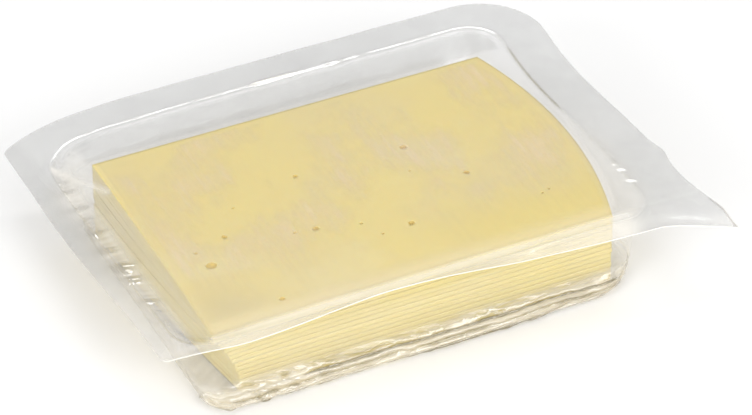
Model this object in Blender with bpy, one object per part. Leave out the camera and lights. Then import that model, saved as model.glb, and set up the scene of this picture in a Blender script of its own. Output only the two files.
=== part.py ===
"""A sealed pack of sliced cheese: a stack of slices in a thermoformed film tray under a flat lid film.

Millimetres are turned into metres by MM. While the pieces are laid out, X runs along the long side of
the stack from its front left corner, Y runs to the back and Z runs up from the surface that the pack
lies on. At the end an empty moves the whole pack so that its box is centred over the origin.
"""

import math

import bpy
from mathutils import Vector

MM = 0.001

# The stack of slices
SLICE_LENGTH = 146.0
SLICE_DEPTH = 100.0
SLICE_THICKNESS = 1.8
SLICE_COUNT = 14
SLICE_GAP = 0.3
SLICE_EDGE = 0.35  # chamfer round each slice
SLICE_SWAY = (0.12, 0.15)  # how far the slices lie out of line, to the side and to the back
SWAY_TURN = (2.3, 1.7)  # radians from slice to slice
SWAY_START = 0.8
RIND_BULGE = 8.0  # how far the wheel's round side stands out from its chord
CORNER_SET_BACK = 9.8  # how far the front left corner of the lowest slice lies inside the top one's
SET_BACK_POWER = 1.6  # how soon the left side turns in towards that corner
STRAIGHT_STEPS = 10
RIND_STEPS = 10
LEFT_STEPS = 8

# The films
TRAY_WALL = 0.4
LID_THICKNESS = 0.3
FILM_GAP = 0.3
FLANGE_HEIGHT = 28.9
STACK_BOTTOM = TRAY_WALL + FILM_GAP
STACK_TOP = STACK_BOTTOM + SLICE_COUNT * (SLICE_THICKNESS + SLICE_GAP) - SLICE_GAP
LID_HEIGHT = STACK_TOP + FILM_GAP

# Each outline of the tray: left, right, front, back, then the corner radii from front left, anticlockwise
FOOT = (-4.0, 157.5, -8.0, 105.0, (9.0, 22.0, 10.0, 6.0))
WAIST = (-3.2, 157.0, -1.4, 107.5, (5.0, 10.0, 11.0, 8.0))
SHOULDER = (-9.5, 158.5, -1.4, 114.0, (9.0, 11.0, 12.0, 11.0))
RIM = (-12.0, 160.5, -4.6, 119.5, (12.0, 12.0, 14.0, 14.0))
FLANGE = (-20.0, 177.0, -9.5, 132.0, (1.5, 1.5, 26.0, 1.5))
FOOT_RADIUS = 2.0  # where the floor turns up into the walls
FOOT_TURN = math.radians(45.0)  # the round foot has one ring at this angle
LEAST_RADIUS = 0.5
WAIST_HEIGHT = 8.0
SHOULDER_HEIGHT = 20.5
LID_MARGIN = 1.6  # the lid leaves the top slice this far outside its outline
LID_RADII = (1.0, 12.0, 12.0, 1.0)

# The flange is soft. It hangs on the left, rises in a hump in the middle of the front edge, sinks at its
# right end, bows in on the right and is drawn out to an ear at the front right corner.
LEFT_DROP = 9.5
LEFT_DECAY = 13.0
LEFT_REACH = 100.0
HUMP = (61.0, 34.0, 4.0)  # middle, half width and height
FRONT_DROP = (75.0, 100.0, 3.8)  # start, length and depth
CORNER_LIFT = 2.4
LIFT_END = 10.0  # the front left corner's lift fades out here
RIGHT_BOW = (80.0, 32.0, 3.5)  # middle, half width and depth
BOW_START = 100.0  # the bow begins here and is whole at the cut edge
EAR_REACH = 18.0
EAR = (9.5, -5.0, -5.5)

LONG_STEPS = 22
SHORT_STEPS = 14
CORNER_STEPS = 6
FLANGE_STEPS = 3


def clear_scene():
    for obj in list(bpy.data.objects):
        bpy.data.objects.remove(obj, do_unlink=True)


def smooth(value):
    """0 below 0 and 1 above 1, with a soft step between them."""
    value = min(1.0, max(0.0, value))
    return value * value * (3.0 - 2.0 * value)


def material(name, colour, roughness, alpha=1.0):
    made = bpy.data.materials.new(name)
    made.use_nodes = True
    shader = made.node_tree.nodes["Principled BSDF"]
    shader.inputs["Base Color"].default_value = (*colour, 1.0)
    shader.inputs["Roughness"].default_value = roughness
    shader.inputs["Metallic"].default_value = 0.0
    shader.inputs["Alpha"].default_value = alpha
    return made


def add_object(name, points, faces, finish):
    """A named mesh object from points in millimetres."""
    mesh = bpy.data.meshes.new(name)
    mesh.from_pydata([Vector(point) * MM for point in points], [], faces)
    mesh.materials.append(finish)
    obj = bpy.data.objects.new(name, mesh)
    bpy.context.scene.collection.objects.link(obj)
    return obj


def rounded_outline(left, right, front, back, radii):
    """Points round a rectangle with round corners, anticlockwise from the front side's left end."""
    corners = (
        (left, front, 1, 1, 180.0),
        (right, front, -1, 1, 270.0),
        (right, back, -1, -1, 0.0),
        (left, back, 1, -1, 90.0),
    )
    arcs = []
    for (x, y, to_right, to_back, start), radius in zip(corners, radii):
        centre = (x + to_right * radius, y + to_back * radius)
        arc = []
        for step in range(CORNER_STEPS + 1):
            angle = math.radians(start + 90.0 * step / CORNER_STEPS)
            arc.append((centre[0] + radius * math.cos(angle), centre[1] + radius * math.sin(angle)))
        arcs.append(arc)
    points = []
    for corner, steps in enumerate((LONG_STEPS, SHORT_STEPS, LONG_STEPS, SHORT_STEPS)):
        points += arcs[corner]
        begin = arcs[corner][-1]
        end = arcs[(corner + 1) % 4][0]
        for step in range(1, steps):
            share = step / steps
            points.append((begin[0] + share * (end[0] - begin[0]), begin[1] + share * (end[1] - begin[1])))
    return points


def inset(outline, amount):
    left, right, front, back, radii = outline
    smaller = tuple(max(radius - amount, LEAST_RADIUS) for radius in radii)
    return (left + amount, right - amount, front + amount, back - amount, smaller)


def between(low, high, share):
    """The outline a share of the way from one outline to another."""
    sides = [low[side] + share * (high[side] - low[side]) for side in range(4)]
    radii = tuple(a + share * (b - a) for a, b in zip(low[4], high[4]))
    return (*sides, radii)


def bell(value, middle, width):
    return math.exp(-(((value - middle) / width) ** 2))


def flange_point(x, y, lift):
    """A point of the sealed flange, with its sag, its hump, its bow and its drawn-out corner."""
    left, right, front = FLANGE[:3]
    z = FLANGE_HEIGHT + lift
    z -= LEFT_DROP * math.exp((left - x) / LEFT_DECAY) * smooth((y - front) / LEFT_REACH)
    at_front = smooth((RIM[2] - y) / (RIM[2] - front))
    z += at_front * HUMP[2] * bell(x, HUMP[0], HUMP[1])
    z -= at_front * FRONT_DROP[2] * smooth((x - FRONT_DROP[0]) / FRONT_DROP[1])
    z += at_front * CORNER_LIFT * smooth((LIFT_END - x) / (LIFT_END - left))
    x -= RIGHT_BOW[2] * bell(y, RIGHT_BOW[0], RIGHT_BOW[1]) * smooth((x - BOW_START) / (right - BOW_START))
    ear = smooth(1.0 - math.hypot(x - right, y - front) / EAR_REACH)
    return (x + ear * EAR[0], y + ear * EAR[1], z + ear * EAR[2])


def flange_rings(lift):
    """The rings from the rim out to the cut edge of the flange."""
    rings = []
    for step in range(FLANGE_STEPS + 1):
        outline = between(RIM, FLANGE, step / FLANGE_STEPS)
        rings.append([flange_point(x, y, lift) for x, y in rounded_outline(*outline)])
    return rings


def level_ring(outline, height):
    return [(x, y, height) for x, y in rounded_outline(*outline)]


def ring_faces(ring_count, size):
    """Quads between rings that grow outwards, with the smallest closed by one face; all face up."""
    faces = [tuple(range(size))]
    for ring in range(ring_count - 1):
        inner, outer = ring * size, (ring + 1) * size
        for step in range(size):
            after = (step + 1) % size
            faces.append((inner + step, outer + step, outer + after, inner + after))
    return faces


def film(name, rings, thickness, upwards, finish):
    """A sheet through the rings, given its thickness above or below them."""
    points = [point for ring in rings for point in ring]
    obj = add_object(name, points, ring_faces(len(rings), len(rings[0])), finish)
    wall = obj.modifiers.new("film thickness", "SOLIDIFY")
    wall.thickness = thickness * MM
    wall.offset = 1.0 if upwards else -1.0
    wall.use_even_offset = True
    return obj


def make_tray(finish):
    """The bottom film: flat floor, round foot, walls drawn in against the stack, rim and flange."""
    turned = FOOT_RADIUS * (1.0 - math.cos(FOOT_TURN))
    rings = [
        level_ring(inset(FOOT, FOOT_RADIUS), TRAY_WALL),
        level_ring(inset(FOOT, turned), TRAY_WALL + turned),
        level_ring(FOOT, TRAY_WALL + FOOT_RADIUS),
        level_ring(WAIST, WAIST_HEIGHT),
        level_ring(SHOULDER, SHOULDER_HEIGHT),
    ]
    return film("tray_film", rings + flange_rings(0.0), TRAY_WALL, False, finish)


def make_lid(finish):
    """The top film: flat on the slices, then down to the rim and out over the flange."""
    top = (0.0, SLICE_LENGTH + RIND_BULGE, 0.0, SLICE_DEPTH, LID_RADII)
    rings = [level_ring(inset(top, -LID_MARGIN), LID_HEIGHT)] + flange_rings(FILM_GAP)
    return film("lid_film", rings, LID_THICKNESS, True, finish)


def slice_outline(shift_x, shift_y, set_back, edge):
    """Anticlockwise: a straight front, the round rind side, a straight back and the cut left side."""
    front, back, left = shift_y + edge, shift_y + SLICE_DEPTH - edge, shift_x + edge
    right = shift_x + SLICE_LENGTH - edge
    points = []
    for step in range(STRAIGHT_STEPS):
        points.append((left + set_back + (right - left - set_back) * step / STRAIGHT_STEPS, front))
    for step in range(RIND_STEPS + 1):
        across = step / RIND_STEPS
        bulge = RIND_BULGE * 4.0 * across * (1.0 - across)
        points.append((right + bulge, front + across * (back - front)))
    for step in range(1, STRAIGHT_STEPS):
        points.append((right + (left - right) * step / STRAIGHT_STEPS, back))
    for step in range(LEFT_STEPS):
        across = step / LEFT_STEPS
        points.append((left + set_back * across**SET_BACK_POWER, back + across * (front - back)))
    return points


def make_slice(number, finish):
    """One slice, with its edges broken, on its place in the stack."""
    pitch = SLICE_THICKNESS + SLICE_GAP
    low = STACK_BOTTOM + number * pitch
    share = (number + 0.5) / SLICE_COUNT
    shift_x = SLICE_SWAY[0] * math.sin(SWAY_TURN[0] * number)
    shift_y = SLICE_SWAY[1] * math.sin(SWAY_TURN[1] * number + SWAY_START)
    set_back = CORNER_SET_BACK * (1.0 - share * share)
    levels = (
        (low, SLICE_EDGE),
        (low + SLICE_EDGE, 0.0),
        (low + SLICE_THICKNESS - SLICE_EDGE, 0.0),
        (low + SLICE_THICKNESS, SLICE_EDGE),
    )
    points = []
    for height, edge in levels:
        points += [(x, y, height) for x, y in slice_outline(shift_x, shift_y, set_back, edge)]
    size = len(points) // len(levels)
    faces = [tuple(reversed(range(size))), tuple(range(3 * size, 4 * size))]
    for level in range(len(levels) - 1):
        lower, upper = level * size, (level + 1) * size
        for step in range(size):
            after = (step + 1) % size
            faces.append((lower + step, lower + after, upper + after, upper + step))
    return add_object(f"slice_{number + 1:02d}", points, faces, finish)


def centre_over_origin(pieces):
    """Parents the pieces to an empty that brings the middle of their box over the origin."""
    bpy.context.view_layer.update()
    graph = bpy.context.evaluated_depsgraph_get()
    corners = [Vector(corner) for piece in pieces for corner in piece.evaluated_get(graph).bound_box]
    lowest = [min(corner[axis] for corner in corners) for axis in range(3)]
    highest = [max(corner[axis] for corner in corners) for axis in range(3)]
    pack = bpy.data.objects.new("pack_origin", None)
    bpy.context.scene.collection.objects.link(pack)
    pack.location = (-(lowest[0] + highest[0]) / 2.0, -(lowest[1] + highest[1]) / 2.0, -lowest[2])
    for piece in pieces:
        piece.parent = pack


def main():
    clear_scene()
    cheese = material("cheese", (0.84, 0.68, 0.30), 0.45)
    tray_finish = material("tray_film", (0.80, 0.80, 0.79), 0.12, 0.35)
    lid_finish = material("lid_film", (0.82, 0.82, 0.81), 0.10, 0.25)
    pieces = [make_tray(tray_finish), make_lid(lid_finish)]
    pieces += [make_slice(number, cheese) for number in range(SLICE_COUNT)]
    centre_over_origin(pieces)


main()
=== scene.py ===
"""Looks of a sealed pack of sliced cheese.

Fourteen slices lie in a soft, clear tray film under a clear lid film, and the two films are sealed
together in a wide flange. Places are worked out in millimetres from the front left corner of the stack:
X runs along its long side, Y to the back and Z up from the floor. place() turns them into metres.
"""

import math

import bpy
import numpy as np
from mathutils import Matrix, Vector, noise


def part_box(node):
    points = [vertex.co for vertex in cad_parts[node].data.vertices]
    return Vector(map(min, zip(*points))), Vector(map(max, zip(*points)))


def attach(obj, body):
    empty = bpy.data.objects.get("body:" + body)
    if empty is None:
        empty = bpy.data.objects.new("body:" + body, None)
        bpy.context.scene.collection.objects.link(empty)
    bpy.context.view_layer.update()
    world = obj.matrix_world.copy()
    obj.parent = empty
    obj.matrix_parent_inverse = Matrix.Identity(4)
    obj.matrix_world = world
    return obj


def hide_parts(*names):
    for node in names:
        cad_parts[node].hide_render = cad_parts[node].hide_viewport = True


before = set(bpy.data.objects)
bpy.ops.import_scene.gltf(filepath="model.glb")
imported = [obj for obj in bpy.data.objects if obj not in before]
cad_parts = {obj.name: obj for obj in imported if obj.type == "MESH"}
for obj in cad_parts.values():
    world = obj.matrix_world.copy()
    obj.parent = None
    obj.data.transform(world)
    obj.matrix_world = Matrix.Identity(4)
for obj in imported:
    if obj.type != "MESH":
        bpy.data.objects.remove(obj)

MM = 0.001

# The stack of slices
SLICE_COUNT = 14
SLICE_LENGTH = 146.0
SLICE_DEPTH = 100.0
RIND_BULGE = 8.0  # how far the wheel's round side stands out from its chord
CORNER_SET_BACK = 9.8  # how far the lowest slice's front left corner lies inside the top one's
SET_BACK_POWER = 1.6  # how soon the left side turns in towards that corner
SLICE_SWAY = (0.12, 0.15)  # how far the slices lie out of line, to the side and to the back
SWAY_TURN = (2.3, 1.7)  # radians from slice to slice
SWAY_START = 0.8
STACK_TOP = 29.8
SLICE_COLUMNS = 150
SLICE_ROWS = 100
SLICE_LAYERS = 5
SLICE_PRESSED = 0.29  # what each slice takes up of the gap above it
EDGE_ROUND = (0.02, 0.2)  # of most slices, and of the few that stand out
EDGE_WAVE = 0.12

# The stack has sunk a little where nothing holds it: a share of its height at the front and at the corner
FRONT_SETTLE = 0.045
FRONT_REACH = 11.0
CORNER_SETTLE = 0.085
CORNER_REACH = 17.0

# Eyes in the top slice: from the left, from the front, half width and depth
EYES = (
    (99, 63, 1.2, 1.0),
    (112, 41, 1.0, 0.9),
    (83, 24, 1.15, 1.0),
    (53, 35, 1.2, 0.9),
    (59, 64, 0.8, 0.6),
    (24, 44, 0.95, 0.7),
    (14, 32, 1.8, 0.8),
    (28, 7, 0.9, 0.7),
    (68, 31, 0.5, 0.4),
    (72, 23, 0.4, 0.4),
    (33, 57, 0.5, 0.3),
    (12, 40, 0.6, 0.4),
    (46, 36, 0.6, 0.3),
    (130, 20, 0.45, 0.5),
    (133, 21, 0.4, 0.4),
    (95, 50, 0.4, 0.3),
)

# The cheese is a richer yellow towards its front right corner: where this begins and where it is whole
RICH_START = (50.0, 36.0)
RICH_END = (115.0, 12.0)

# Each outline of the films: left, right, front, back, then the corner radii from front left, anticlockwise
FOOT = (-4.0, 157.5, -8.0, 105.0, (9.0, 22.0, 10.0, 6.0))
LEDGE = (-4.4, 157.2, -3.4, 106.5, (7.0, 14.0, 11.0, 7.0))
WAIST = (-3.2, 157.0, -1.4, 107.5, (5.0, 10.0, 11.0, 8.0))
SHOULDER = (-9.5, 158.5, -1.4, 114.0, (9.0, 11.0, 12.0, 11.0))
RIM = (-12.0, 160.5, -4.6, 119.5, (12.0, 12.0, 14.0, 14.0))
FLANGE = (-20.0, 177.0, -9.5, 132.0, (1.0, 0.3, 26.0, 1.5))
FLOOR_HEIGHT = 0.16
FOOT_HEIGHT = 2.2
LEDGE_HEIGHT = 4.8
WAIST_HEIGHT = 8.0
SHOULDER_HEIGHT = 20.5
FLANGE_HEIGHT = 28.9
FILM_THICKNESS = 0.12
PUCKER_HEIGHT = 1.7
PUCKER_PAINTED_LIGHT = 0.8  # how strongly shade and highlights are painted into the puckers' folds
FOLD_DEPTH = 1.2  # of the crumpled foot
# How strongly shade and highlights are painted into the folds of the foot
FOLD_PAINTED_LIGHT = 1.6
WALL_WAVE = 0.25
LID_WAVE = 0.04
LID_DIP = 0.03  # sag between the stack and the rim, as a share of the gap's width
LID_CLEARANCE = 0.22  # from the stack to the middle of the lid film
LID_BRIDGE = 0.4  # how much of the stack's sinking the lid follows
RIM_BEAD = 0.3  # height of the ridge where the seal begins
WIDE_BEAD = (89.0, 24.0)  # middle and half length of its wide part at the back
SEAL_GAP = 0.16  # from the tray film's middle to the lid film's on the flange

# The flange is soft. It hangs on the left, rises in a hump in the middle of the front edge, sinks at its
# right end, bows in on the right and is drawn out to an ear at the front right corner.
LEFT_DROP = 9.5
LEFT_DECAY = 13.0
LEFT_REACH = 100.0
HUMP = (61.0, 34.0, 4.0)
FRONT_DROP = (75.0, 100.0, 3.8)
CORNER_LIFT = 2.4
LIFT_END = 10.0  # the front left corner's lift fades out here
RIGHT_BOW = (80.0, 32.0, 3.5)
BOW_START = 100.0  # the bow begins here and is whole at the cut edge
EAR_REACH = 18.0
EAR = (9.5, -5.0, -5.5)
NOTCH = (24.0, 5.0, 1.5)  # a small step in the right edge
NOTCH_START = 165.0
BACK_FOLD_SHEEN = ((-12.0, 112.0), (-1.0, 84.0), 1.6)  # ends and half width of a paler, hazier streak in the lid's back left corner: the painted reflection of a fold

# Folds along the front of the foot: the row of the net they run in, half width, strength and least share.
# Below 0 the strength paints highlights on them, above 0 it paints shade
FOOT_RIBBONS = (
    (36.0, 0.8, -0.6, 0.0),
    (34.0, 1.1, 1.5, 0.8),
    (30.5, 1.5, -1.3, 0.4),
    (27.0, 1.2, 1.4, 0.3),
    (23.0, 1.2, -1.2, 0.4),
    (19.0, 1.4, 1.1, 0.2),
    (15.5, 0.8, -1.0, 0.3),
    (11.5, 0.9, 0.7, 0.0),
)

# Points of the films' nets: along the front, right, back and left sides, then round each corner
SIDE_STEPS = (250, 90, 110, 120)
CORNER_STEPS = 13
# Rings of the nets: the innermost outlines, and the steps from outline to outline
TRAY_MIDDLE = (70.0, 90.0, 44.0, 56.0, (3.0, 3.0, 3.0, 3.0))
TRAY_STEPS = (8, 13, 16, 9, 7, 8)
LID_MIDDLE = (60.0, 90.0, 44.0, 56.0, (3.0, 3.0, 3.0, 3.0))
LID_STEPS = (22, 14)
STACK_OUTLINE = (0.0, SLICE_LENGTH, 0.0, SLICE_DEPTH, (1.0, 1.0, 1.0, 1.0))
RIM_SHARES = (-0.16, -0.12, -0.08, -0.04, -0.015, 0.0)
FLANGE_SHARES = (0.03, 0.06, 0.1, 0.16, 0.25, 0.35, 0.45, 0.56, 0.67, 0.77, 0.87, 0.95, 1.0)

# Haze of the films: the share of the light that they stop
TRAY_HAZE = 0.1
LID_HAZE = 0.03
EDGE_HAZE = 0.8  # at the cut edge of the front side, which is also painted pale there as a highlight line
FILM_IOR = 2.6  # above that of plastic, so that the thin film mirrors the lights clearly

# Colours of the cheese: two tints of its body, its rich corner, the pale strata and the dark grain
BODY_TINTS = ((0.79, 0.645, 0.26, 1.0), (0.76, 0.63, 0.30, 1.0))
RICH_TINT = (0.80, 0.64, 0.17, 1.0)
RICH_SHARE = 0.6
STRATA_TINT = (0.82, 0.73, 0.40, 1.0)
GRAIN_TINT = (0.72, 0.50, 0.17, 1.0)
EYE_TINT = (0.72, 0.54, 0.15, 1.0)


def clamp(value):
    return min(1.0, max(0.0, value))


def smooth(value):
    """0 below 0 and 1 above 1, with a soft step between them."""
    value = clamp(value)
    return value * value * (3.0 - 2.0 * value)


def rising(value, start, width):
    """0 up to the start and 1 from a width beyond it."""
    return smooth((value - start) / width)


def falling(value, end, width):
    """1 until a width before the end and 0 beyond the end."""
    return smooth((end - value) / width)


def bell(value, middle, width):
    return math.exp(-(((value - middle) / width) ** 2))


def rough(x, y, z=0.0):
    """Soft noise between about -1 and 1."""
    return noise.noise(Vector((x, y, z)))


def pack_origin():
    """Where the front left corner of the stack lies in the frame, from the top slice's box."""
    number = SLICE_COUNT - 1
    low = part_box(f"slice_{SLICE_COUNT:02d}")[0]
    shift_x = SLICE_SWAY[0] * math.sin(SWAY_TURN[0] * number)
    shift_y = SLICE_SWAY[1] * math.sin(SWAY_TURN[1] * number + SWAY_START)
    return Vector((low.x - shift_x * MM, low.y - shift_y * MM, 0.0))


ORIGIN = pack_origin()


def place(point):
    """A layout point in the frame, in metres."""
    return ORIGIN + Vector(point) * MM


class Graph:
    """Adds nodes to a tree. Each input is given a plain value or the socket that feeds it."""

    def __init__(self, tree):
        self.tree = tree

    def plug(self, socket, value):
        if isinstance(value, bpy.types.NodeSocket):
            self.tree.links.new(value, socket)
        else:
            socket.default_value = value

    def add(self, kind, inputs=None, **settings):
        node = self.tree.nodes.new(kind)
        for name, value in settings.items():
            setattr(node, name, value)
        for name, value in (inputs or {}).items():
            self.plug(node.inputs[name], value)
        return node

    def math(self, operation, *values, clamped=False):
        node = self.add("ShaderNodeMath", operation=operation, use_clamp=clamped)
        for socket, value in zip(node.inputs, values):
            self.plug(socket, value)
        return node.outputs[0]

    def blend(self, share, first, second):
        """A number a share of the way from the first to the second."""
        return self.math("ADD", self.math("MULTIPLY", self.math("SUBTRACT", second, first), share), first)

    def colours(self, share, first, second):
        node = self.add("ShaderNodeMix", data_type="RGBA")
        self.plug(node.inputs["Factor"], share)
        self.plug(node.inputs[6], first)
        self.plug(node.inputs[7], second)
        return node.outputs[2]

    def step(self, value, low, high, from_value=0.0, to_value=1.0):
        """A soft step from one value to another while the input goes from low to high."""
        node = self.add("ShaderNodeMapRange", interpolation_type="SMOOTHSTEP")
        for name, entry in (
            ("Value", value),
            ("From Min", low),
            ("From Max", high),
            ("To Min", from_value),
            ("To Max", to_value),
        ):
            self.plug(node.inputs[name], entry)
        return node.outputs["Result"]


def add_sockets(tree, sockets, in_out):
    """Named sockets on a node group: name, type and, for an input, its value."""
    for name, kind, *value in sockets:
        socket = tree.interface.new_socket(name, in_out=in_out, socket_type=f"NodeSocket{kind}")
        if value:
            socket.default_value = value[0]


# ---------------------------------------------------------------------------------------------------------
# The cheese


def slice_tree():
    """Geometry Nodes for one slice: a net of points shaped to the cut of the wheel."""
    tree = bpy.data.node_groups.new("cheese slice", "GeometryNodeTree")
    inputs = (
        ("Corner", "Vector"),
        ("Length", "Float", 0.146),
        ("Depth", "Float", 0.1),
        ("Thickness", "Float", 0.0018),
        ("Rind Bulge", "Float", 0.008),
        ("Set Back", "Float", 0.0),
        ("Edge Round", "Float", 0.0004),
        ("Edge Wave", "Float", 0.0007),
        ("Seed", "Float", 0.0),
        ("Columns", "Int", 100),
        ("Rows", "Int", 70),
        ("Layers", "Int", 5),
        ("Cheese", "Material"),
    )
    add_sockets(tree, inputs, "INPUT")
    add_sockets(tree, [("Slice", "Geometry")], "OUTPUT")
    graph = Graph(tree)
    given = graph.add("NodeGroupInput").outputs
    net = graph.add(
        "GeometryNodeMeshCube",
        {
            "Size": (1.0, 1.0, 1.0),
            "Vertices X": given["Columns"],
            "Vertices Y": given["Rows"],
            "Vertices Z": given["Layers"],
        },
    )
    spot = graph.add("ShaderNodeSeparateXYZ", {"Vector": graph.add("GeometryNodeInputPosition").outputs[0]})
    along, across, up = (graph.math("ADD", spot.outputs[axis], 0.5) for axis in "XYZ")

    from_middle = graph.math("ABSOLUTE", graph.math("MULTIPLY", spot.outputs["Z"], 2.0))
    rounding = graph.math("MULTIPLY", graph.math("POWER", from_middle, 3.0), given["Edge Round"])

    to_front = graph.math("SUBTRACT", 1.0, across)
    cut_back = graph.math("MULTIPLY", graph.math("POWER", to_front, SET_BACK_POWER), given["Set Back"])
    arch = graph.math("MULTIPLY", graph.math("MULTIPLY", across, to_front), 4.0)
    bulge = graph.math("MULTIPLY", arch, given["Rind Bulge"])
    left = graph.math("ADD", cut_back, rounding)
    right = graph.math("SUBTRACT", graph.math("ADD", given["Length"], bulge), rounding)
    front = rounding
    back = graph.math("SUBTRACT", given["Depth"], rounding)

    def wave(position, offset):
        """How far an edge wanders at this position along it."""
        where = graph.add("ShaderNodeCombineXYZ", {"X": graph.math("MULTIPLY", position, 6.0), "Y": offset})
        pattern = graph.add(
            "ShaderNodeTexNoise",
            {"Vector": where.outputs[0], "W": given["Seed"], "Scale": 1.0, "Detail": 4.0},
            noise_dimensions="4D",
        )
        return graph.math("MULTIPLY", graph.math("SUBTRACT", pattern.outputs[0], 0.5), given["Edge Wave"])

    x = graph.math("ADD", graph.blend(along, left, right), wave(across, 3.1))
    y = graph.math("ADD", graph.blend(across, front, back), wave(along, 9.7))
    z = graph.math("MULTIPLY", up, given["Thickness"])
    shaped = graph.add(
        "GeometryNodeSetPosition",
        {
            "Geometry": net.outputs["Mesh"],
            "Position": graph.add("ShaderNodeCombineXYZ", {"X": x, "Y": y, "Z": z}).outputs[0],
            "Offset": given["Corner"],
        },
    )
    soft = graph.add(
        "GeometryNodeSetShadeSmooth", {"Geometry": shaped.outputs[0], "Shade Smooth": True}
    )
    whole = graph.add("GeometryNodeRealizeInstances", {"Geometry": soft.outputs[0]})
    finished = graph.add(
        "GeometryNodeSetMaterial", {"Geometry": whole.outputs[0], "Material": given["Cheese"]}
    )
    result = graph.add("NodeGroupOutput")
    tree.links.new(finished.outputs[0], result.inputs["Slice"])
    return tree


def made_by_nodes(name, tree, values):
    """A plain mesh object from a Geometry Nodes tree and the values of its inputs."""
    obj = bpy.data.objects.new(name, bpy.data.meshes.new(f"{name} start"))
    bpy.context.scene.collection.objects.link(obj)
    modifier = obj.modifiers.new("shape", "NODES")
    modifier.node_group = tree
    keys = {item.name: item.identifier for item in tree.interface.items_tree if item.in_out == "INPUT"}
    for key, value in values.items():
        modifier[keys[key]] = value
    bpy.context.view_layer.update()
    graph = bpy.context.evaluated_depsgraph_get()
    mesh = bpy.data.meshes.new_from_object(obj.evaluated_get(graph), depsgraph=graph)
    obj.modifiers.clear()
    obj.data = mesh
    mesh.name = name
    return obj


def settle_share(x, y):
    """The share of its height by which the stack has sunk at this place."""
    front = FRONT_SETTLE * math.exp(-max(y, 0.0) / FRONT_REACH)
    corner = CORNER_SETTLE * math.exp(-math.hypot(max(x, 0.0), max(y, 0.0)) / CORNER_REACH)
    return front + corner


def settle(mesh):
    for vertex in mesh.vertices:
        local = (vertex.co - ORIGIN) / MM
        vertex.co.z *= 1.0 - settle_share(local.x, local.y)


def cut_eyes(obj, finish):
    """Sinks the eyes into the top slice with lumpy bowls; their walls take the cutter's material."""
    bowls = []
    for number, (x, y, half_width, depth) in enumerate(EYES):
        bpy.ops.mesh.primitive_ico_sphere_add(subdivisions=4, radius=1.0)
        bowl = bpy.context.object
        top = STACK_TOP * (1.0 - settle_share(x, y))
        for vertex in bowl.data.vertices:
            point = vertex.co
            point *= 1.0 + 0.16 * rough(point.x * 1.3 + number * 7.0, point.y * 1.3, point.z * 1.3)
            vertex.co = place(
                (
                    x + half_width * point.x,
                    y + 0.85 * half_width * point.y,
                    top + depth * 0.25 + 1.25 * depth * point.z,
                )
            )
        bowl.data.materials.append(finish)
        for face in bowl.data.polygons:
            face.use_smooth = True
        bowls.append(bowl)
    collection = bpy.data.collections.new("eye bowls")
    for bowl in bowls:
        collection.objects.link(bowl)
    cut = obj.modifiers.new("eyes", "BOOLEAN")
    cut.operation = "DIFFERENCE"
    cut.operand_type = "COLLECTION"
    cut.collection = collection
    cut.solver = "EXACT"
    cut.material_mode = "TRANSFER"
    bpy.context.view_layer.update()
    graph = bpy.context.evaluated_depsgraph_get()
    mesh = bpy.data.meshes.new_from_object(obj.evaluated_get(graph), depsgraph=graph)
    obj.modifiers.clear()
    obj.data = mesh
    for bowl in bowls:
        bpy.data.objects.remove(bowl)
    bpy.data.collections.remove(collection)


def make_slices(cheese, eye_wall):
    tree = slice_tree()
    for number in range(SLICE_COUNT):
        node = f"slice_{number + 1:02d}"
        low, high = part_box(node)
        share = (number + 0.5) / SLICE_COUNT
        values = {
            "Corner": low,
            "Length": high.x - low.x - RIND_BULGE * MM,
            "Depth": high.y - low.y,
            "Thickness": high.z - low.z + (SLICE_PRESSED * MM if number < SLICE_COUNT - 1 else 0.0),
            "Rind Bulge": RIND_BULGE * MM,
            "Set Back": CORNER_SET_BACK * (1.0 - share * share) * MM,
            "Edge Round": (EDGE_ROUND[1] if number * 5 % 7 == 2 else EDGE_ROUND[0]) * MM,
            "Edge Wave": EDGE_WAVE * MM,
            "Seed": 1.7 * number,
            "Columns": SLICE_COLUMNS,
            "Rows": SLICE_ROWS,
            "Layers": SLICE_LAYERS,
            "Cheese": cheese,
        }
        piece = made_by_nodes(f"cheese_{node}", tree, values)
        settle(piece.data)
        if number == SLICE_COUNT - 1:
            cut_eyes(piece, eye_wall)
        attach(piece, "root")
        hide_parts(node)


# ---------------------------------------------------------------------------------------------------------
# The films


def rounded_outline(left, right, front, back, radii):
    """Points round a rectangle with round corners, anticlockwise from the front side's left end."""
    corners = (
        (left, front, 1, 1, 180.0),
        (right, front, -1, 1, 270.0),
        (right, back, -1, -1, 0.0),
        (left, back, 1, -1, 90.0),
    )
    arcs = []
    for (x, y, to_right, to_back, start), radius in zip(corners, radii):
        centre = (x + to_right * radius, y + to_back * radius)
        arc = []
        for step in range(CORNER_STEPS + 1):
            angle = math.radians(start + 90.0 * step / CORNER_STEPS)
            arc.append((centre[0] + radius * math.cos(angle), centre[1] + radius * math.sin(angle)))
        arcs.append(arc)
    points = []
    for corner, steps in enumerate(SIDE_STEPS):
        points += arcs[corner]
        begin = arcs[corner][-1]
        end = arcs[(corner + 1) % 4][0]
        for step in range(1, steps):
            share = step / steps
            points.append((begin[0] + share * (end[0] - begin[0]), begin[1] + share * (end[1] - begin[1])))
    return points


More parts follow.
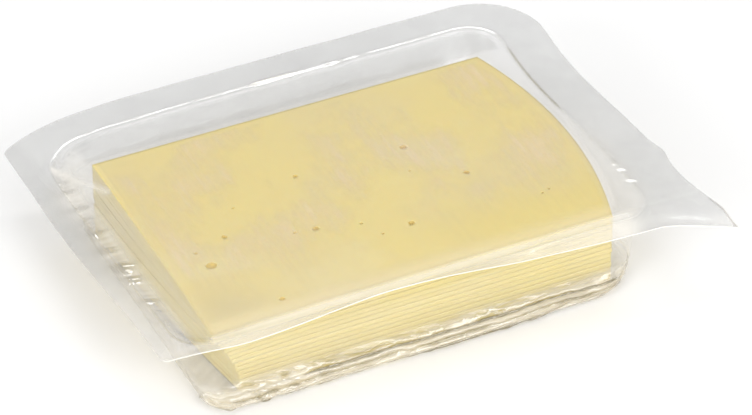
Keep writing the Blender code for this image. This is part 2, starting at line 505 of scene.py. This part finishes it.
def flange_point(x, y, lift):
    """A point of the sealed flange, with its sag, its hump, its bow and its drawn-out corner."""
    left, right, front = FLANGE[:3]
    z = FLANGE_HEIGHT + lift
    z -= LEFT_DROP * math.exp((left - x) / LEFT_DECAY) * rising(y, front, LEFT_REACH)
    at_front = falling(y, RIM[2], RIM[2] - front)
    z += at_front * HUMP[2] * bell(x, HUMP[0], HUMP[1])
    z -= at_front * FRONT_DROP[2] * rising(x, FRONT_DROP[0], FRONT_DROP[1])
    z += at_front * CORNER_LIFT * falling(x, LIFT_END, LIFT_END - left)
    x -= RIGHT_BOW[2] * bell(y, RIGHT_BOW[0], RIGHT_BOW[1]) * rising(x, BOW_START, right - BOW_START)
    x += NOTCH[2] * bell(y, NOTCH[0], NOTCH[1]) * rising(x, NOTCH_START, right - NOTCH_START)
    ear = clamp(1.0 - math.hypot(x - right, y - front) / EAR_REACH) ** 1.5
    z += 0.22 * rough(x * 0.06, y * 0.06, 2.0)
    return (x + ear * EAR[0], y + ear * EAR[1], z + ear * EAR[2])


def pucker_mask(x, y):
    """Where the rim is puckered: along the left side and, weaker, at the front of the right side."""
    left = bell(x, RIM[0] + 1.0, 5.0) * rising(y, 1.0, 34.0) * falling(y, 110.0, 16.0)
    right = 0.55 * bell(x, RIM[1] - 0.5, 3.0) * falling(y, 52.0, 14.0) * rising(y, 2.0, 10.0)
    return left + right


def pucker_fold(x, y):
    """Sharp, uneven folds that run across the rim."""
    slanted = y + 0.5 * x
    return abs(rough(slanted * 0.13, x * 0.02, 5.0)) + 0.6 * abs(rough(slanted * 0.41, x * 0.04, 11.0)) - 0.42


def streak(x, y, line):
    """1 on a straight line that is given by its ends and its half width, and less beside it."""
    start, end, width = Vector(line[0]), Vector(line[1]), line[2]
    along = end - start
    share = clamp((Vector((x, y)) - start).dot(along) / along.length_squared)
    return bell((Vector((x, y)) - start - share * along).length, 0.0, width)


def wide_bead(x, y):
    """Where the ridge along the rim is at its widest: in the middle of the back."""
    return falling(abs(x - WIDE_BEAD[0]), WIDE_BEAD[1], 6.0) * rising(y, 100.0, 10.0)


def low_left(x, y):
    """The front end of the left flange, where light from the floor brightens the films."""
    return falling(y, 68.0, 45.0) * falling(x, -6.0, 5.0)


def hanging(x, y):
    """The left flange, which hangs and is seen more from its edge, so it looks denser."""
    return falling(x, -11.0, 6.0) * rising(y, 30.0, 40.0)


def right_crease_shade(x, y):
    """Where the shade of a sharp fold is painted, in the back half of the right rim."""
    return rising(x, 150.0, 4.0) * rising(y, 58.0, 6.0) * falling(y, 104.0, 8.0)


def foot_ribbons(x, ring):
    """Folds along the front of the foot: below 0 where they are painted with highlights, above 0 where they
    are painted with shade.
    """
    row = ring + 3.0 * rough(x * 0.045, 3.1) + 1.3 * rough(x * 0.2, 9.7)
    fold = -0.3 * rising(x, 95.0, 25.0)
    for number, (middle, width, strength, least) in enumerate(FOOT_RIBBONS):
        shown = max(least, smooth(0.6 + 1.6 * rough(x * 0.04 + 7.0 * number, 0.5)))
        fold += strength * bell(row, middle, width) * shown
    return fold


def level(outline, height):
    """A ring of points at one height."""
    return np.array([(x, y, height) for x, y in rounded_outline(*outline)])


def flange_ring(share, lift):
    """A ring of the flange, from the rim at 0 to the cut edge at 1."""
    low, high = RIM, FLANGE
    sides = [low[side] + share * (high[side] - low[side]) for side in range(4)]
    radii = tuple(a + share * (b - a) for a, b in zip(low[4], high[4]))
    return np.array([flange_point(x, y, lift) for x, y in rounded_outline(*sides, radii)])


def filled(rings, counts):
    """Rings with straight steps added between them: counts gives the steps of each span."""
    rows = []
    for low, high, count in zip(rings, rings[1:], counts):
        for step in range(count):
            rows.append(low + (high - low) * (step / count))
    rows.append(rings[-1])
    return np.array(rows)


def relaxed(rows, passes, fixed_end):
    """Rounds the bends from ring to ring; the last rings may be kept as they are."""
    stop = len(rows) - fixed_end
    for _ in range(passes):
        middle = 0.25 * rows[:-2] + 0.5 * rows[1:-1] + 0.25 * rows[2:]
        rows[1:stop] = middle[: stop - 1]
    return rows


def normals_of(rows):
    """Unit normals of a net of rings, pointing up on the floor and inwards on the walls."""
    around = np.roll(rows, -1, axis=1) - np.roll(rows, 1, axis=1)
    outwards = np.gradient(rows, axis=0)
    across = np.cross(outwards, around)
    length = np.linalg.norm(across, axis=2, keepdims=True)
    return across / np.maximum(length, 1e-9)


def facets(u, v, seed):
    """Flat facets with sharp folds between them, between 0 and 1."""
    u, v = u + 0.55 * rough(u * 0.7, v * 0.7, seed), v + 0.55 * rough(u * 0.7, v * 0.7, seed + 20.0)
    i, j = math.floor(u), math.floor(v)
    u, v = u - i, v - j

    def height(a, b):
        return noise.cell(Vector((i + a + 0.5, j + b + 0.5, seed + 0.5)))

    if u + v < 1.0:
        near = height(0, 0)
        return near + u * (height(1, 0) - near) + v * (height(0, 1) - near)
    far = height(1, 1)
    return far + (1.0 - u) * (height(0, 1) - far) + (1.0 - v) * (height(1, 0) - far)


def film_object(name, rows, attributes, finish):
    """A closed thin shell from a net of rings, with a value per point for each attribute."""
    count, size = rows.shape[:2]
    centre = rows[0].mean(axis=0)
    flat = np.concatenate([rows.reshape(-1, 3), centre[None]])
    points = [place(point) for point in flat.tolist()]
    faces = []
    for ring in range(count - 1):
        inner, outer = ring * size, (ring + 1) * size
        for step in range(size):
            after = (step + 1) % size
            faces.append((inner + step, outer + step, outer + after, inner + after))
    for step in range(size):
        faces.append((step, (step + 1) % size, count * size))
    mesh = bpy.data.meshes.new(name)
    mesh.from_pydata(points, [], faces)
    for key, values in attributes.items():
        layer = mesh.attributes.new(key, "FLOAT", "POINT")
        layer.data.foreach_set("value", np.append(values.reshape(-1), values[0].mean()).astype(np.float32))
    mesh.materials.append(finish)
    for face in mesh.polygons:
        face.use_smooth = True
    obj = bpy.data.objects.new(name, mesh)
    bpy.context.scene.collection.objects.link(obj)
    wall = obj.modifiers.new("film thickness", "SOLIDIFY")
    wall.thickness = FILM_THICKNESS * MM
    wall.offset = 0.0
    bpy.context.view_layer.update()
    graph = bpy.context.evaluated_depsgraph_get()
    shell = bpy.data.meshes.new_from_object(obj.evaluated_get(graph), depsgraph=graph)
    obj.modifiers.clear()
    obj.data = shell
    return obj


def front_painted_light(x, y, z):
    """Where the films are painted pale instead of grey, as painted light: on the front side, whose light
    comes from the front.
    """
    return falling(y, -1.0, 3.0) * rising(z, 2.0, 3.0) * falling(x, 156.0, 9.0)


def empty_values(rows, *names):
    """For each name an array with a value per point of a net."""
    return {name: np.zeros(rows.shape[:2]) for name in names}


def tray_net():
    """The tray film before it is crumpled, with the rows where its floor ends and where its rim lies."""
    left, right, front, back, radii = FOOT
    floor = (left + 2.0, right - 2.0, front + 1.8, back - 2.0, tuple(radius - 1.5 for radius in radii))
    rings = [
        level(TRAY_MIDDLE, FLOOR_HEIGHT),
        level(floor, FLOOR_HEIGHT),
        level(FOOT, FOOT_HEIGHT),
        level(LEDGE, LEDGE_HEIGHT),
        level(WAIST, WAIST_HEIGHT),
        level(SHOULDER, SHOULDER_HEIGHT),
        flange_ring(0.0, 0.0),
    ]
    rows = filled(rings, TRAY_STEPS)
    rim_row = len(rows) - 1
    outer = [flange_ring(share, 0.0) for share in FLANGE_SHARES]
    rows = np.concatenate([rows, np.array(outer)])
    return relaxed(rows, 2, len(outer) - 2), TRAY_STEPS[0], rim_row


def foot_crumple(x, y, z, ring, floor_row):
    """How much the foot is crumpled, how finely it is crinkled and how far its folds stand in."""
    low = falling(z, 9.0, 5.0) * rising(ring, floor_row - 3.0, 3.0)
    front = falling(y, 6.0, 8.0)
    amount = low * (0.35 + 0.65 * front)
    along = x if front > 0.5 or y > SLICE_DEPTH else y
    crinkled = 0.35 + 0.65 * max(falling(x, 36.0, 12.0), rising(x, 142.0, 8.0), 1.0 - front)
    fold = facets(along * 0.13, ring * 0.26 + along * 0.03, 3.0) - 0.36
    fold = crinkled * (fold + 0.7 * facets(along * 0.38, ring * 0.34, 8.0) - 0.35)
    return amount, crinkled, fold + (1.2 - crinkled) * front * foot_ribbons(x, ring)


def make_tray(finish):
    """The tray film: floor, crumpled foot, walls drawn in against the stack, rim and flange."""
    rows, floor_row, rim_row = tray_net()
    normals = normals_of(rows)
    values = empty_values(rows, "haze", "pale_haze_and_painted_light", "crumple", "fold_light_and_shade")
    for ring, column in np.ndindex(rows.shape[:2]):
        x, y, z = rows[ring, column]
        amount, crinkled, fold = foot_crumple(x, y, z, ring, floor_row)
        wall = rising(z, 8.0, 4.0) * falling(z, 27.0, 4.0)
        puckered = pucker_mask(x, y) * rising(z, 12.0, 8.0)
        inwards = wall * WALL_WAVE * rough(x * 0.09, y * 0.09, z * 0.05) - amount * FOLD_DEPTH * fold
        rows[ring, column] += normals[ring, column] * inwards
        rows[ring, column, 2] += PUCKER_HEIGHT * puckered * pucker_fold(x, y)
        rows[ring, column, 2] = max(rows[ring, column, 2], FILM_THICKNESS * 0.6)

        on_flange = rising(ring, rim_row - 1.0, 2.0)
        # A painted highlight along the cut edge of the front side
        edge_highlight = falling(y, -3.0, 4.0) if ring == len(rows) - 1 else 0.0
        painted_front_light = front_painted_light(x, y, z)
        by_rim = falling(x, -6.0, 4.0) * rising(z, 13.0, 6.0) * (1.0 - on_flange)
        clear = 0.05 * rising(x, 150.0, 6.0) * (1.0 - on_flange) + 0.04 * painted_front_light
        haze = TRAY_HAZE + 0.06 * on_flange - clear + 0.15 * by_rim + EDGE_HAZE * edge_highlight
        drawn = min(1.0, 1.3 * abs(fold))
        values["haze"][ring, column] = haze + amount * (0.05 + (0.5 - 0.22 * crinkled) * drawn)
        # Painted light: the tray's walls are painted pale where they lie in shade, less at the back; so are
        # the front side, the cut edge and the low left flange
        wall_painted_light = rising(z, 3.0, 3.0) * falling(z, 26.0, 5.0) * (0.8 - 0.5 * rising(y, 96.0, 8.0))
        values["pale_haze_and_painted_light"][ring, column] = max(painted_front_light, edge_highlight, wall_painted_light, 0.7 * low_left(x, y))
        values["crumple"][ring, column] = max(amount, 0.5 * puckered)
        # Painted highlights and shade along the folds of the foot and the puckers
        fold_light_and_shade = FOLD_PAINTED_LIGHT * fold * amount + PUCKER_PAINTED_LIGHT * pucker_fold(x, y) * puckered
        values["fold_light_and_shade"][ring, column] = fold_light_and_shade
    tray = film_object("clear_tray_film", rows, values, finish)
    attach(tray, "root")
    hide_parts("tray_film")


def rind_stand(y):
    """How far the round right side of the stack stands out from its chord."""
    across = clamp(y / SLICE_DEPTH)
    return RIND_BULGE * 4.0 * across * (1.0 - across)


def lid_contact(x, y):
    """How high the lid film lies over the stack: it bridges part of what the stack has sunk."""
    return STACK_TOP * (1.0 - LID_BRIDGE * settle_share(x, y)) + LID_CLEARANCE


def over_stack(outline):
    """A ring of the lid that lies on the stack and follows its round side."""
    ring = level(outline, 0.0)
    for point in ring:
        point[0] += rind_stand(point[1]) * rising(point[0], 60.0, 80.0)
        point[2] = lid_contact(point[0], point[1])
    return ring


def lid_net():
    """The lid film, with each ring's share of the way over the flange and the rows of the stack's edge,
    of the start of the seal and of the rim."""
    inner = flange_ring(RIM_SHARES[0], SEAL_GAP)
    rows = filled([over_stack(LID_MIDDLE), over_stack(STACK_OUTLINE), inner], LID_STEPS)
    edge_row = LID_STEPS[0]
    inner_row = edge_row + LID_STEPS[1]
    rim_row = inner_row + len(RIM_SHARES) - 1
    outer = [flange_ring(share, SEAL_GAP) for share in RIM_SHARES[1:] + FLANGE_SHARES]
    rows = np.concatenate([rows, np.array(outer)])
    width = np.linalg.norm(rows[inner_row] - rows[edge_row], axis=1)
    for ring, column in np.ndindex(rows.shape[:2]):
        x, y, _ = rows[ring, column]
        gap_share = (ring - edge_row) / LID_STEPS[1]
        if ring <= edge_row:
            rows[ring, column, 2] = lid_contact(x, y) + LID_WAVE * rough(x * 0.12, y * 0.12, 1.0)
        elif gap_share < 1.0:
            dip = LID_DIP * width[column] * 4.0 * gap_share * (1.0 - gap_share) ** 0.8 * rising(y, -2.0, 8.0)
            rows[ring, column, 2] -= dip * (0.8 + 0.5 * rough(x * 0.07, y * 0.07, 4.0))
        puckered = pucker_mask(x, y) * rising(ring, edge_row, 5.0)
        rows[ring, column, 2] += PUCKER_HEIGHT * puckered * pucker_fold(x, y)
    rows = relaxed(rows, 3, len(outer))
    shares = [0.0] * inner_row + list(RIM_SHARES + FLANGE_SHARES)
    for ring in range(inner_row, rim_row + 5):
        for column in range(rows.shape[1]):
            x, y, _ = rows[ring, column]
            wide = wide_bead(x, y)
            bead = (1.0 + 0.7 * wide) * bell(shares[ring], 0.0, 0.035 + 0.055 * wide)
            uneven = 0.8 + 0.5 * rough(x * 0.05, y * 0.05, 6.0) + 0.3 * rough(x * 0.21, y * 0.21, 9.0)
            rows[ring, column, 2] += RIM_BEAD * bead * uneven * rising(y, 45.0, 45.0)
    return rows, shares, edge_row, inner_row, rim_row


def make_lid(finish):
    """The lid film: on the slices, then over the gap to the rim and out over the flange."""
    rows, shares, edge_row, inner_row, rim_row = lid_net()
    values = empty_values(rows, "haze", "pale_haze_and_painted_light", "contact", "crumple", "fold_light_and_shade", "damp", "dull")
    for ring, column in np.ndindex(rows.shape[:2]):
        x, y, z = rows[ring, column]
        rind = SLICE_LENGTH + rind_stand(y)
        on_stack = ring <= edge_row
        margin = max(falling(y, 8.5, 7.0), 0.5 * falling(x, 4.0, 4.0), 0.6 * rising(x, rind - 5.0, 5.0))
        corner = falling(math.hypot(x, y), 34.0, 24.0)
        loose = max(margin, corner) if on_stack else 1.0
        touching = falling(ring, edge_row - 0.5, 1.5)
        values["contact"][ring, column] = touching * (1.0 - loose) * (0.2 + 0.8 * rising(y, 12.0, 28.0))

        on_flange = rising(ring, rim_row - 1.0, 2.0)
        by_front = bell(y, -2.4, 2.4)
        values["dull"][ring, column] = max(on_flange * falling(y, -3.0, 3.0), by_front)
        damp = rising(y, 101.0, 2.0) * falling(ring, inner_row, 2.0)
        values["damp"][ring, column] = damp

        # The folds: painted highlights and shade on the puckers, the painted shade of a crease in the right
        # rim and the painted reflection of a fold in the back left corner
        puckered = pucker_mask(x, y) * rising(ring, edge_row, 5.0)
        fold_light_and_shade = bell(ring, rim_row - 1.0, 1.1) * right_crease_shade(x, y)
        fold = streak(x, y, BACK_FOLD_SHEEN) * falling(ring, rim_row + 2.0, 3.0)
        values["crumple"][ring, column] = max(0.5 * puckered, fold_light_and_shade)
        values["fold_light_and_shade"][ring, column] = PUCKER_PAINTED_LIGHT * pucker_fold(x, y) * puckered + fold_light_and_shade

        # The painted highlight on the ridge at the back, a pale, denser line, and where the film is seen
        # aslant and looks denser
        broken = smooth(0.9 + 1.8 * rough(x * 0.06, y * 0.06, 13.0))
        at_back = rising(y, 100.0, 10.0) * (0.4 + 0.6 * wide_bead(x, y)) * broken
        ridge = bell(shares[ring], -0.03, 0.045 + 0.06 * wide_bead(x, y)) * at_back
        ridge = ridge if ring >= inner_row else 0.0
        on_left = falling(x, 1.0, 3.0) * falling(ring, inner_row, 3.0)
        by_rim = falling(x, -5.0, 4.0) * falling(ring, rim_row, 3.0)
        veil = bell(y, -2.4, 2.2) * rising(x, -4.0, 4.0) * falling(x, 156.0, 6.0)
        veil = max(veil, 0.8 * bell(x, rind + 0.8, 1.8) * falling(y, 80.0, 40.0) * rising(y, 0.0, 4.0))
        # A painted highlight along the cut edge of the front side, and the front side painted pale as painted
        # light
        edge_highlight = falling(y, -3.0, 4.0) if ring == len(rows) - 1 else 0.0
        painted_front_light = front_painted_light(x, y, z)

        haze = LID_HAZE + 0.08 * loose + 0.05 * on_flange + 0.08 * bell(ring, rim_row - 1.0, 2.0)
        haze += EDGE_HAZE * edge_highlight + 0.08 * puckered + 0.06 * on_left + 0.24 * by_rim + 0.16 * veil
        haze += 0.2 * fold + 0.05 * painted_front_light + 0.12 * hanging(x, y) + 0.5 * ridge + 0.3 * fold_light_and_shade
        values["haze"][ring, column] = haze + 0.13 * damp
        # Pale haze and painted light: the hazy margins and veils, and paint where light is painted on: the
        # front, the cut edge, the ridge, the back fold and the low left flange
        pale = margin if on_stack else 0.7 * on_left
        pale_haze_and_painted_light = max(painted_front_light, edge_highlight, pale, veil, fold, 0.4 * by_rim, ridge, 0.7 * low_left(x, y))
        values["pale_haze_and_painted_light"][ring, column] = pale_haze_and_painted_light
    lid = film_object("clear_lid_film", rows, values, finish)
    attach(lid, "root")
    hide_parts("lid_film")


# ---------------------------------------------------------------------------------------------------------
# Materials


def new_material(name):
    made = bpy.data.materials.new(name)
    made.use_nodes = True
    return made, Graph(made.node_tree), made.node_tree.nodes["Principled BSDF"]


def cheese_material():
    made, graph, shader = new_material("young cheese")
    spot = graph.add("ShaderNodeTexCoord").outputs["Object"]

    def pattern(scale, detail, stretch=(1.0, 1.0, 1.0)):
        mapped = graph.add("ShaderNodeMapping", {"Vector": spot, "Scale": stretch}).outputs[0]
        return graph.add(
            "ShaderNodeTexNoise", {"Vector": mapped, "Scale": scale, "Detail": detail}
        ).outputs["Fac"]

    broad = pattern(22.0, 3.0)
    strata = pattern(30.0, 4.0, (0.6, 0.6, 22.0))
    fine = pattern(900.0, 2.0)
    body = graph.colours(graph.step(broad, 0.35, 0.68), *BODY_TINTS)
    spread = graph.add("ShaderNodeSeparateXYZ", {"Vector": spot}).outputs
    start, end = place((*RICH_START, 0.0)), place((*RICH_END, 0.0))
    rich = graph.math(
        "MULTIPLY",
        graph.step(spread["X"], start.x, end.x),
        graph.step(spread["Y"], end.y, start.y, RICH_SHARE, 0.0),
    )
    body = graph.colours(rich, body, RICH_TINT)
    body = graph.colours(graph.step(strata, 0.52, 0.72, 0.0, 0.4), body, STRATA_TINT)
    body = graph.colours(graph.step(fine, 0.55, 0.75, 0.0, 0.12), body, GRAIN_TINT)
    graph.plug(shader.inputs["Base Color"], body)
    graph.plug(shader.inputs["Roughness"], graph.step(fine, 0.3, 0.7, 0.38, 0.52))
    bump = graph.add("ShaderNodeBump", {"Height": fine, "Strength": 0.12, "Distance": 0.0002})
    graph.plug(shader.inputs["Normal"], bump.outputs[0])
    shader.inputs["Subsurface Weight"].default_value = 0.25
    shader.inputs["Subsurface Radius"].default_value = (1.0, 0.7, 0.25)
    shader.inputs["Subsurface Scale"].default_value = 0.003
    return made


def eye_material():
    made, _, shader = new_material("eye wall")
    shader.inputs["Base Color"].default_value = EYE_TINT
    shader.inputs["Roughness"].default_value = 0.3
    return made


def film_group():
    """Haze, smears, specks of moisture, painted light that makes the films pale, painted highlights and shade
    on folds, and small dents, which both films share.
    """
    tree = bpy.data.node_groups.new("film surface", "ShaderNodeTree")
    inputs = (
        ("Haze Unevenness", "Float", 0.25),
        ("Smear Haze", "Float", 0.0),
        ("Dent Height", "Float", 0.3),
        ("Film", "Color", (0.53, 0.53, 0.52, 1.0)),
        # Painted light: the pale film colour, and the highlight and shade colours painted on folds
        ("Bright Film", "Color", (1.0, 0.97, 0.91, 1.0)),
        ("Bright Fold", "Color", (1.0, 0.94, 0.8, 1.0)),
        ("Dark Fold", "Color", (0.28, 0.23, 0.1, 1.0)),
        ("Smear", "Color", (0.95, 0.84, 0.84, 1.0)),
        ("Speck", "Color", (0.14, 0.14, 0.12, 1.0)),
    )
    outputs = (("Colour", "Color"), ("Alpha", "Float"), ("Roughness", "Float"), ("Normal", "Vector"))
    add_sockets(tree, inputs, "INPUT")
    add_sockets(tree, outputs, "OUTPUT")
    graph = Graph(tree)
    given = graph.add("NodeGroupInput").outputs
    spot = graph.add("ShaderNodeTexCoord").outputs["Object"]

    def pattern(scale, detail, stretch=(1.0, 1.0, 1.0), turn=0.0, distortion=0.0):
        mapped = graph.add(
            "ShaderNodeMapping", {"Vector": spot, "Scale": stretch, "Rotation": (0.0, 0.0, turn)}
        ).outputs[0]
        return graph.add(
            "ShaderNodeTexNoise",
            {"Vector": mapped, "Scale": scale, "Detail": detail, "Distortion": distortion},
        ).outputs["Fac"]

    def attribute(name):
        return graph.add("ShaderNodeAttribute", attribute_name=name).outputs["Fac"]

    haze, contact, crumple = attribute("haze"), attribute("contact"), attribute("crumple")
    cloud = pattern(45.0, 4.0)
    uneven = graph.math("MULTIPLY", graph.math("SUBTRACT", cloud, 0.5), given["Haze Unevenness"])
    haze = graph.math("MULTIPLY", haze, graph.math("ADD", 1.0, graph.math("MULTIPLY", uneven, 2.0)))
    blotches = graph.step(pattern(34.0, 6.0, (1.0, 0.7, 1.0), -0.2), 0.42, 0.62)
    streaks = graph.step(pattern(240.0, 3.0, (2.0, 0.1, 1.0), -0.16, 0.2), 0.42, 0.66)
    smears = graph.math("MULTIPLY", blotches, graph.math("ADD", graph.math("MULTIPLY", streaks, 0.35), 0.65))
    smears = graph.math("MULTIPLY", smears, contact)
    alpha = graph.math("ADD", haze, graph.math("MULTIPLY", smears, given["Smear Haze"]), clamped=True)
    drops = graph.add("ShaderNodeTexVoronoi", {"Vector": spot, "Scale": 620.0}).outputs["Distance"]
    drop_size = graph.step(pattern(90.0, 2.0), 0.43, 0.63, 0.1, 0.31)
    specks = graph.math("MULTIPLY", graph.math("LESS_THAN", drops, drop_size), attribute("damp"))
    alpha = graph.math("MAXIMUM", alpha, graph.math("MULTIPLY", specks, 0.24))
    # Painted light: pale where the attribute says, grey elsewhere
    colour = graph.colours(attribute("pale_haze_and_painted_light"), given["Film"], given["Bright Film"])
    colour = graph.colours(smears, colour, given["Smear"])
    # Painted highlights and shade on folds
    fold = graph.step(attribute("fold_light_and_shade"), -0.3, 0.2)
    fold_paint = graph.colours(fold, given["Bright Fold"], given["Dark Fold"])
    colour = graph.colours(crumple, colour, fold_paint)
    colour = graph.colours(specks, colour, given["Speck"])
    dents = graph.math("ADD", pattern(70.0, 3.0), graph.math("MULTIPLY", pattern(260.0, 3.0), crumple))
    bump = graph.add("ShaderNodeBump", {"Height": dents, "Strength": given["Dent Height"], "Distance": 0.001})
    result = graph.add("NodeGroupOutput")
    graph.plug(result.inputs["Colour"], colour)
    graph.plug(result.inputs["Alpha"], alpha)
    misty = graph.math("MULTIPLY", attribute("dull"), 0.35)
    graph.plug(result.inputs["Roughness"], graph.math("ADD", graph.step(cloud, 0.3, 0.7, 0.05, 0.12), misty))
    graph.plug(result.inputs["Normal"], bump.outputs[0])
    return tree


def film_material(name, group, values):
    made, graph, shader = new_material(name)
    surface = graph.add("ShaderNodeGroup", node_tree=group)
    for key, value in values.items():
        surface.inputs[key].default_value = value
    graph.plug(shader.inputs["Base Color"], surface.outputs["Colour"])
    graph.plug(shader.inputs["Alpha"], surface.outputs["Alpha"])
    graph.plug(shader.inputs["Roughness"], surface.outputs["Roughness"])
    graph.plug(shader.inputs["Normal"], surface.outputs["Normal"])
    shader.inputs["IOR"].default_value = FILM_IOR
    return made


# ---------------------------------------------------------------------------------------------------------
# Camera, floor and light

CAMERA_TURN = 25.73  # degrees from straight behind the front side
CAMERA_DOWN = 37.27
CAMERA_TARGET = (84.42, 54.03, 15.0)
CAMERA_DISTANCE = 1416.94
LENS = 200.0
FLOOR_REACH = 3.0  # metres

# Each area light: name, place in metres, size and power. All look at the middle of the pack's base.
LIGHTS = (
    ("back softbox", (0.35, 1.0, 1.9), (1.3, 0.4), 9.5),
    ("front softbox", (0.4, -1.5, 0.8), (1.4, 0.8), 15.5),
    ("left softbox", (-1.5, -0.5, 0.7), (1.0, 0.8), 12.0),
)
WORLD_AT_HORIZON = 0.46
WORLD_OVERHEAD = 0.62


def make_camera():
    turn, down = math.radians(CAMERA_TURN), math.radians(CAMERA_DOWN)
    ahead = Vector((math.sin(turn) * math.cos(down), math.cos(turn) * math.cos(down), -math.sin(down)))
    data = bpy.data.cameras.new("camera")
    data.lens = LENS
    data.sensor_width = 36.0
    data.clip_end = 20.0
    camera = bpy.data.objects.new("camera", data)
    camera.location = place(CAMERA_TARGET) - ahead * CAMERA_DISTANCE * MM
    camera.rotation_euler = ahead.to_track_quat("-Z", "Y").to_euler()
    bpy.context.scene.collection.objects.link(camera)
    bpy.context.scene.camera = camera


def make_floor():
    mesh = bpy.data.meshes.new("floor")
    corners = [(x * FLOOR_REACH, y * FLOOR_REACH, 0) for x, y in ((-1, -1), (1, -1), (1, 1), (-1, 1))]
    mesh.from_pydata(corners, [], [(0, 1, 2, 3)])
    made, _, shader = new_material("pale floor")
    shader.inputs["Base Color"].default_value = (0.98, 0.98, 0.98, 1.0)
    shader.inputs["Roughness"].default_value = 0.9
    shader.inputs["Specular IOR Level"].default_value = 0.0
    mesh.materials.append(made)
    floor = bpy.data.objects.new("floor", mesh)
    bpy.context.scene.collection.objects.link(floor)


def make_area_light(name, at, size, power):
    data = bpy.data.lights.new(name, "AREA")
    data.shape = "RECTANGLE"
    data.size, data.size_y = size
    data.energy = power
    light = bpy.data.objects.new(name, data)
    light.location = at
    light.rotation_euler = (-Vector(at)).to_track_quat("-Z", "Y").to_euler()
    bpy.context.scene.collection.objects.link(light)


def make_light():
    world = bpy.data.worlds.new("soft studio")
    bpy.context.scene.world = world
    world.use_nodes = True
    graph = Graph(world.node_tree)
    up = graph.add(
        "ShaderNodeSeparateXYZ", {"Vector": graph.add("ShaderNodeTexCoord").outputs["Generated"]}
    ).outputs["Z"]
    shade = graph.step(up, 0.0, 0.95, WORLD_AT_HORIZON, WORLD_OVERHEAD)
    background = world.node_tree.nodes["Background"]
    graph.plug(background.inputs["Strength"], shade)
    background.inputs["Color"].default_value = (1.0, 1.0, 1.0, 1.0)
    for light in LIGHTS:
        make_area_light(*light)


def main():
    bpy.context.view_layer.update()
    make_camera()
    make_floor()
    make_light()
    make_slices(cheese_material(), eye_material())
    group = film_group()
    make_tray(film_material("clear tray film", group, {"Haze Unevenness": 0.3, "Dent Height": 0.35}))
    make_lid(film_material("clear lid film", group, {"Smear Haze": 0.13, "Dent Height": 0.12}))
    scene = bpy.context.scene
    scene.cycles.transparent_max_bounces = 32
    scene.view_settings.view_transform = "Standard"


main()
